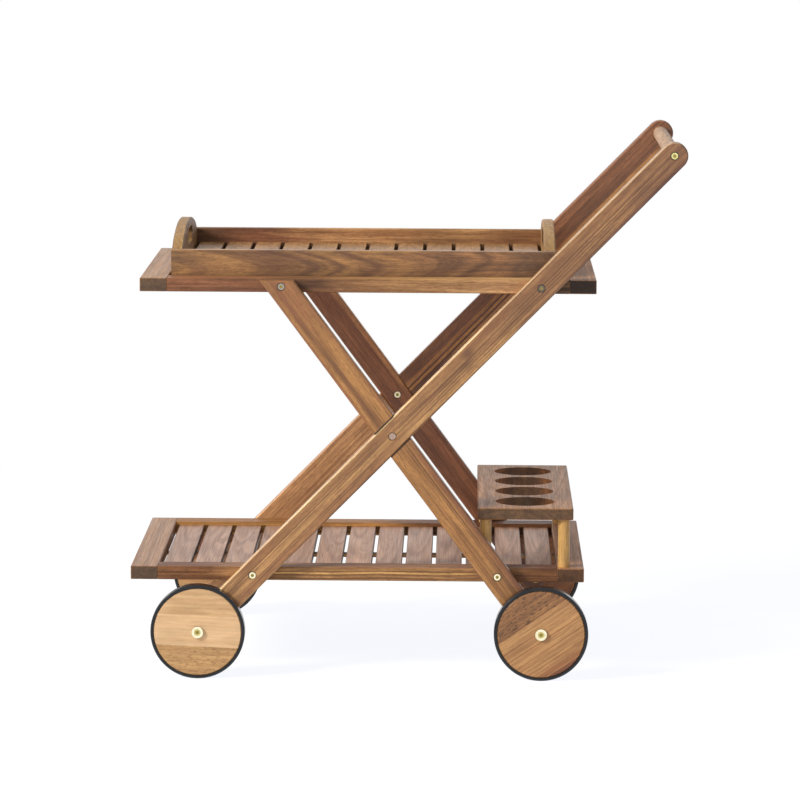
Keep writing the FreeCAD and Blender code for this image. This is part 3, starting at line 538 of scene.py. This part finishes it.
def dress_legs():
    """Legs with stripes along them, paler or redder on the far side, and the handle bar."""
    stripe = (94, 58, 36)
    edge = (98, 59, 44)
    knot = (92, 60, 42)
    long_bands = [
        (0.014, 0.010, (136, 91, 57), 0.55, -0.36, 0.75),
        (0.010, 0.010, knot, 0.8, 0.160, 0.196),
        (-0.005, 0.010, knot, 0.75, 0.146, 0.182),
        (0.0, 0.06, (112, 73, 52), 0.45, 0.5, 0.9),
        (-0.0195, 0.0045, edge, 0.85, 0.22, 0.75),
        (-0.0200, 0.0030, edge, 0.5, -0.3, 0.25),
        (-0.0145, 0.0080, (138, 90, 58), 0.65, -0.45, 0.04),
        (0.0025, 0.0015, stripe, 0.85, 0.0, 0.68),
        (-0.0025, 0.0012, stripe, 0.8, -0.05, 0.6),
        (-0.0065, 0.0014, stripe, 0.8, 0.05, 0.66),
        (-0.0110, 0.0012, stripe, 0.75, 0.0, 0.5),
        (0.0070, 0.0014, stripe, 0.7, -0.45, 0.0),
        (0.0030, 0.0011, stripe, 0.65, -0.45, 0.0),
        (-0.0080, 0.0011, stripe, 0.6, -0.45, 0.0),
        (-0.0120, 0.0013, stripe, 0.6, -0.4, 0.0),
    ]
    dress_leg("long_leg_left", STRIPED, LONG_LEG, seed=1.0, bands=long_bands,
              shifts=[("along", 0.12, 0.4, STRIPED_TOP)])
    short_bands = [
        (-0.007, 0.0060, (108, 69, 42), 0.8, -0.34, 0.0),
        (-0.020, 0.0040, (138, 88, 58), 0.6, -0.34, 0.0),
        (0.019, 0.0040, (138, 90, 60), 0.5, -0.34, 0.0),
        (0.000, 0.0200, (148, 94, 62), 0.5, -0.40, -0.2),
        (0.018, 0.0070, (130, 82, 56), 0.85, 0.0, 0.5),
        (0.0095, 0.0015, stripe, 0.75, 0.0, 0.5),
        (0.0060, 0.0011, stripe, 0.6, 0.0, 0.5),
    ]
    lap_half = 0.0223
    seam_half = 0.0016
    lap_seams = [(LONG_EDGE, side * lap_half, seam_half) for side in (-1, 1)]
    dress_leg("short_leg_left", GOLDEN, SHORT_LEG, seed=3.0, bands=short_bands, seams=lap_seams)
    bright = (206, 142, 80)
    deep = (52, 31, 21)
    far_bands = [
        (-0.0185, 0.0048, (196, 138, 76), 0.9, 0.08, 0.64),
        (-0.0010, 0.0045, bright, 0.6, -0.02, 0.36),
        (-0.0095, 0.0035, bright, 0.75, -0.02, 0.36),
        (-0.0055, 0.0016, deep, 0.8, -0.02, 0.34),
        (-0.0130, 0.0016, deep, 0.8, -0.02, 0.38),
    ]
    dress_leg("long_leg_right", FAR_GOLDEN, LONG_LEG, seed=2.0, bands=far_bands,
              shifts=[("along", -0.03, 0.07, FAR_RED)])
    pale_edge = [(0.0175, 0.006, (228, 172, 112), 0.4, -0.32, 0.03)]
    dress_leg("short_leg_right", REDDISH, SHORT_LEG, seed=4.0, bands=pale_edge,
              shifts=[("along", -0.04, 0.08, REDDISH_LOW)])
    dress_wood("handle_bar", HANDLE, Y_AXIS, seed=5.0)


def dress_decks():
    """Upper frame and lower shelf: rails, battens, slats and end pieces."""
    dark_line = (92, 60, 34)
    top_shifts = [("along", -0.2, 0.15, RAIL_GOLD), ("along", 0.1, 0.25, RAIL_PALE)]
    # The first band is partly darker heartwood and partly painted shadow of the near short leg; the second is
    # painted shade at the rail's rear end, beside the long leg.
    top_bands = [
        (0.003, 0.012, (74, 49, 33), 0.9, -0.18, -0.03),
        (0.0, 0.05, (46, 34, 26), 0.95, 0.245, 0.5),
    ]
    shelf_shifts = [("along", -0.26, -0.16, RAIL_GOLD), ("along", 0.18, 0.27, RAIL_DARK)]
    shelf_bands = [
        (0.0045, 0.0013, dark_line, 0.7, -0.22, 0.24),
        (-0.0015, 0.0014, dark_line, 0.6, -0.24, 0.20),
        (-0.0070, 0.0015, dark_line, 0.7, -0.20, 0.24),
        (0.0015, 0.0016, (234, 184, 110), 0.75, -0.18, 0.22),
    ]
    far_shifts = [("along", -0.02, 0.1, RAIL_DARK)]
    rails = {
        "top_rail_left": (RAIL_RED, 6.0, top_shifts, top_bands),
        "top_rail_right": (RAIL_RED, 7.0, top_shifts, ()),
        "shelf_rail_left": (RAIL_DARK, 6.0, shelf_shifts, shelf_bands),
        "shelf_rail_right": (FAR_SHELF_RAIL, 7.0, far_shifts, ()),
    }
    for node, (timber, seed, shifts, bands) in rails.items():
        dress_wood(node, timber, X_AXIS, seed=seed, shifts=shifts, bands=bands)
    for deck in ("top", "shelf"):
        dress_wood(f"{deck}_batten", RAIL_GOLD, X_AXIS, seed=10.0)
        dress_wood(f"{deck}_slats", SLAT, Y_AXIS, pith=(0.0, -0.02), tilt=(0.0, 0.045), seed=11.0,
                   slat_pitch=slat_pitch(deck))
    dress_wood("top_end_front", END_PIECE, Y_AXIS, seed=8.0)
    dress_wood("top_end_rear", DARK_PIECE, Y_AXIS, seed=8.5)
    dress_wood("shelf_end_front", SHELF_FRONT, Y_AXIS, seed=9.0)
    dress_wood("shelf_end_rear", SHELF_REAR, Y_AXIS, seed=10.0)


def slat_pitch(deck):
    """Distance between the slats of a deck, from the frame: slats and gaps repeat evenly."""
    counts = {"top": 13, "shelf": 13, "tray": 12}
    slat_width = 0.0423
    low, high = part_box(f"{deck}_slats")
    return (high.x - low.x - slat_width) / (counts[deck] - 1)


def dress_tray():
    """Tray: sides with patches along them, one painted shadow; battens; arched ends with hand slots in
    painted shade; slats.
    """
    near_patches = [
        (0.0, 0.06, (84, 66, 40), 0.35, -0.4, -0.255),
        (0.0, 0.06, (96, 58, 36), 0.55, -0.21, -0.08),
        (0.0, 0.06, (80, 58, 40), 0.7, 0.2, 0.45),
    ]
    dress_wood("tray_side_left", TRAY_SIDE, X_AXIS, pith=(0.06, -0.005), tilt=(0.1, 0.02), seed=12.0,
               bands=near_patches, shifts=[("along", 0.05, 0.2, TRAY_OLIVE)])
    # The first far patch is painted shadow, cast by the front end on the far side's inner face.
    far_patches = [
        (0.0, 0.06, (84, 66, 44), 0.6, -0.5, -0.22),
        (0.0, 0.06, (108, 66, 42), 0.65, 0.17, 0.45),
    ]
    dress_wood("tray_side_right", RAIL_RED, X_AXIS, seed=13.0, bands=far_patches,
               shifts=[("along", -0.18, -0.08, FAR_GOLDEN), ("along", 0.0, 0.14, RAIL_GOLD)])
    for number, hand in enumerate(("left", "right")):
        dress_wood(f"tray_batten_{hand}", RAIL_GOLD, X_AXIS, seed=14.0 + number)
    # Painted shade inside the hand slots, left off the boards' broad faces.
    slot_shade = [(0.0126, 0.021, (58, 42, 28), 0.9, -0.11, 0.11)]
    ends = {"tray_end_front": (TRAY_END_FRONT, 15.0), "tray_end_rear": (TRAY_END, 16.0)}
    for node, (timber, seed) in ends.items():
        dress_wood(node, timber, Y_AXIS, pith=(0.05, -0.02), tilt=(0.1, 0.02), seed=seed, bands=slot_shade)
    dress_wood("tray_slats", TRAY_SLAT, Y_AXIS, pith=(0.0, -0.04), tilt=(0.0, 0.1), seed=17.0,
               slat_pitch=slat_pitch("tray"))


def dress_rack():
    """Bottle rack: its board and its four posts."""
    dress_wood("bottle_rack_board", RACK, Y_AXIS, pith=(0.01, -0.06), tilt=(0.0, 0.12), seed=18.0)
    for number, place in enumerate(("front_left", "front_right", "rear_left", "rear_right")):
        dress_wood(f"rack_post_{place}", POST, Z_AXIS, seed=19.0 + number)


def strips(*borders):
    """Glued strips of a wheel: each border is a height and the timber above it."""
    half_joint = 0.0006
    return [("height", height - half_joint, height + half_joint, timber) for height, timber in borders]


def dress_wheels():
    """Wheels of glued strips, with their tyres and bushes."""
    front = {
        "left": strips((-0.023, WHEEL_PALE), (0.027, WHEEL_WARM)),
        "right": strips((-0.02, WHEEL_GOLD), (0.02, WHEEL_RED)),
    }
    rear = {
        "left": strips((-0.062, WHEEL_GOLD), (0.025, WHEEL_DARK)),
        "right": strips((-0.057, WHEEL_RED)),
    }
    line_heights = (-0.050, -0.044, -0.033, -0.026, -0.010, 0.004)
    rear_lines = [(height, 0.0011, (146, 94, 54), 0.65, -0.13, 0.13) for height in line_heights]
    rear_lines.append((-0.0570, 0.006, (142, 86, 52), 0.7, -0.1, 0.2))
    tyre = rubber()
    bush = plastic()
    for number, hand in enumerate(("left", "right")):
        dress_wood(f"front_wheel_{hand}_disc", WHEEL_BROWN, FRONT_WHEEL_GRAIN, seed=23.0 + number,
                   shifts=front[hand])
        dress_wood(f"rear_wheel_{hand}_disc", WHEEL_EDGE, REAR_WHEEL_GRAIN, seed=25.0 + number,
                   shifts=rear[hand], bands=rear_lines)
        for end in ("front", "rear"):
            dress(f"{end}_wheel_{hand}_tyre", tyre)
            dress(f"{end}_wheel_{hand}_bush", bush)


def metal(name, base, tint, rough, shades=(), upper=None):
    """Plated steel with an uneven, coloured film.

    shades are (nearest, farthest, colour): painted shade between two distances from the middle plane.
    Above the crossing of the legs the metal may have another colour, partly painted shade.
    """
    film_scale = 260.0
    grain_scale = 1800.0
    crossing_heights = (0.40, 0.41)
    soft = 0.0003
    tree = Tree(name)
    place = tree.place()
    film = tree.spread(tree.noise(place, film_scale), 0.35, 0.65)
    grain = tree.noise(place, grain_scale)
    tone = tree.mix(film, colour(*base), colour(*tint))
    side, height = tree.split(place)[1:]
    if upper:
        tone = tree.mix(tree.spread(height, *crossing_heights), tone, colour(*upper))
    outward = tree.math("ABSOLUTE", side)
    for nearest, farthest, shade in shades:
        above = tree.spread(outward, nearest - soft, nearest + soft)
        below = tree.spread(outward, farthest - soft, farthest + soft, 1.0, 0.0)
        tone = tree.mix(tree.times(above, below), tone, colour(*shade))
    roughness = tree.spread(grain, 0.2, 0.8, rough - 0.06, rough + 0.08)
    bump = tree.bump(strength=0.15, distance=0.0001, height=grain)
    return tree.finish(**{"Base Color": tone, "Metallic": 1.0, "Roughness": roughness, "Normal": bump})


def rubber():
    """Dull black rubber with a faint dusty bloom."""
    bloom_scale = 60.0
    grit_scale = 2200.0
    black = (8, 10, 15)
    dusty = (18, 21, 28)
    tree = Tree("tyre_rubber")
    place = tree.place()
    bloom = tree.spread(tree.noise(place, bloom_scale, 3.0), 0.35, 0.7)
    grit = tree.noise(place, grit_scale)
    tone = tree.mix(bloom, colour(*black), colour(*dusty))
    roughness = tree.spread(bloom, 0.0, 1.0, 0.17, 0.25)
    bump = tree.bump(strength=0.2, distance=0.0002, height=grit)
    return tree.finish(**{"Base Color": tone, "Roughness": roughness, "Normal": bump,
                          "Specular IOR Level": 0.4})


def plastic():
    """Pale plastic of the bushes, with a faint speckle."""
    speck_scale = 900.0
    ivory = (214, 208, 196)
    pale_ivory = (228, 223, 212)
    tree = Tree("bush_plastic")
    speck = tree.noise(tree.place(), speck_scale)
    tone = tree.mix(speck, colour(*ivory), colour(*pale_ivory))
    return tree.finish(**{"Base Color": tone, "Roughness": 0.5})


def dress_metal():
    """Bolts, nuts and washers; the upper bolts of the legs are greyer, partly their plating and partly
    painted shade.
    """
    yellow = (248, 242, 212)
    amber = (236, 227, 184)
    light_green = (216, 208, 152)
    green = (192, 186, 122)
    # The upper bolts of the legs: silver and grey, partly their plating and partly painted shade of their
    # counterbores.
    silver = (152, 147, 137)
    grey = (104, 96, 88)
    dull_gold = (188, 158, 96)
    dull_brown = (164, 130, 76)
    pale_steel = (178, 160, 150)
    warm_steel = (164, 132, 116)
    bolt_rough = 0.3
    looks = {
        "axle_nuts": metal("dull_zinc", dull_gold, dull_brown, 0.42),
        "short_leg_bolts": metal("yellow_zinc_short_leg", yellow, amber, bolt_rough, LEG_SHADES, silver),
        "long_leg_bolts": metal("yellow_zinc_long_leg", yellow, amber, bolt_rough, LEG_SHADES, grey),
        "handle_bolts": metal("yellow_zinc_handle", light_green, green, bolt_rough, LEG_SHADES),
        "crossing_bolts": metal("yellow_zinc_inner", yellow, amber, bolt_rough, INNER_SHADES),
        "axle_bolts": metal("yellow_zinc_wheel", yellow, amber, bolt_rough, WHEEL_SHADES),
    }
    plain = metal("plated_steel", pale_steel, warm_steel, 0.34)
    looks["crossing_nuts"] = plain
    looks["wheel_washers"] = plain
    for node, material in looks.items():
        dress(node, material)


# Rays that see the floor and the surroundings as white, besides the camera's
WHITE_RAYS = ("Is Glossy Ray", "Is Transmission Ray")


def add_floor():
    """A pale floor that looks white to the camera and still takes the cart's shadow near it."""
    half = 12.0
    pale_grey = (0.82, 0.82, 0.82, 1)
    lit_share = (0.20, 0.17, 0.13, 1)
    shadow_colour = (0.88, 0.91, 0.96, 1)
    full_white = (1, 1, 1, 1)
    white_from = 0.8
    white_at = 2.2
    mesh = bpy.data.meshes.new("floor")
    corners = [(-half, -half, 0), (half, -half, 0), (half, half, 0), (-half, half, 0)]
    mesh.from_pydata(corners, [], [(0, 1, 2, 3)])
    floor = bpy.data.objects.new("floor", mesh)
    scene.collection.objects.link(floor)
    tree = Tree("pale_floor")
    path = tree.nodes.new("ShaderNodeLightPath")
    plain = tree.add("ShaderNodeBsdfDiffuse", 0, None, Color=pale_grey)
    shown = tree.add("ShaderNodeBsdfDiffuse", 0, None, Color=lit_share)
    glow = tree.add("ShaderNodeEmission", 0, None, Color=shadow_colour, Strength=1.0)
    shown = tree.add("ShaderNodeAddShader", 0, None, in0=shown, in1=glow)
    white = tree.add("ShaderNodeEmission", 0, None, Color=full_white, Strength=1.0)
    far = tree.spread(tree.length(tree.place()), white_from, white_at)
    shown = tree.add("ShaderNodeMixShader", 0, None, in0=far, in1=shown, in2=white)
    seen = path.outputs["Is Camera Ray"]
    for ray in WHITE_RAYS:
        seen = tree.math("MAXIMUM", seen, path.outputs[ray])
    mixed = tree.add("ShaderNodeMixShader", 0, None, in0=seen, in1=plain, in2=shown)
    tree.links.new(mixed, tree.surface.inputs["Surface"])
    mesh.materials.append(tree.material)


def add_world():
    """Even white surroundings: full white where they are seen, softer as a light."""
    light_strength = 0.35
    seen_strength = 1.0
    world = bpy.data.worlds.new("studio")
    world.use_nodes = True
    scene.world = world
    nodes = world.node_tree.nodes
    links = world.node_tree.links
    backdrop = nodes["Background"]
    path = nodes.new("ShaderNodeLightPath")
    seen = path.outputs["Is Camera Ray"]
    for ray in WHITE_RAYS:
        either = nodes.new("ShaderNodeMath")
        either.operation = "MAXIMUM"
        links.new(seen, either.inputs[0])
        links.new(path.outputs[ray], either.inputs[1])
        seen = either.outputs[0]
    strength = nodes.new("ShaderNodeMapRange")
    strength.inputs["To Min"].default_value = light_strength
    strength.inputs["To Max"].default_value = seen_strength
    links.new(seen, strength.inputs["Value"])
    backdrop.inputs["Color"].default_value = (1, 1, 1, 1)
    links.new(strength.outputs["Result"], backdrop.inputs["Strength"])


def add_lamp(name, place, aim, size, watts):
    """A soft square lamp that points at a place."""
    data = bpy.data.lights.new(name, "AREA")
    data.shape = "SQUARE"
    data.size = size
    data.energy = watts
    lamp = bpy.data.objects.new(name, data)
    lamp.location = place
    lamp.rotation_euler = (Vector(aim) - Vector(place)).to_track_quat("-Z", "Y").to_euler()
    scene.collection.objects.link(lamp)


def add_camera():
    """A camera at the photograph's place and angle."""
    forward = Vector((math.sin(CAMERA_YAW) * math.cos(CAMERA_PITCH),
                      math.cos(CAMERA_YAW) * math.cos(CAMERA_PITCH),
                      -math.sin(CAMERA_PITCH)))
    right = Vector((math.cos(CAMERA_YAW), -math.sin(CAMERA_YAW), 0))
    up = right.cross(forward)
    rolled_right = math.cos(CAMERA_ROLL) * right + math.sin(CAMERA_ROLL) * up
    rolled_up = math.cos(CAMERA_ROLL) * up - math.sin(CAMERA_ROLL) * right
    data = bpy.data.cameras.new("camera")
    data.sensor_width = SENSOR
    data.lens = FOCAL_PIXELS / IMAGE_SIZE * SENSOR
    data.clip_end = 100.0
    camera = bpy.data.objects.new("camera", data)
    turn = Matrix((rolled_right, rolled_up, -forward)).transposed()
    camera.matrix_world = Matrix.Translation(CAMERA_PLACE) @ turn.to_4x4()
    scene.collection.objects.link(camera)
    scene.camera = camera


dress_legs()
dress_decks()
dress_tray()
dress_rack()
dress_wheels()
dress_metal()
add_floor()
add_world()
add_lamp("key_softbox", place=(-4.6, -3.0, 3.4), aim=CART_MIDDLE, size=1.4, watts=380.0)
add_lamp("front_softbox", place=(-0.5, -6.5, 2.0), aim=CART_MIDDLE, size=3.0, watts=45.0)
add_camera()
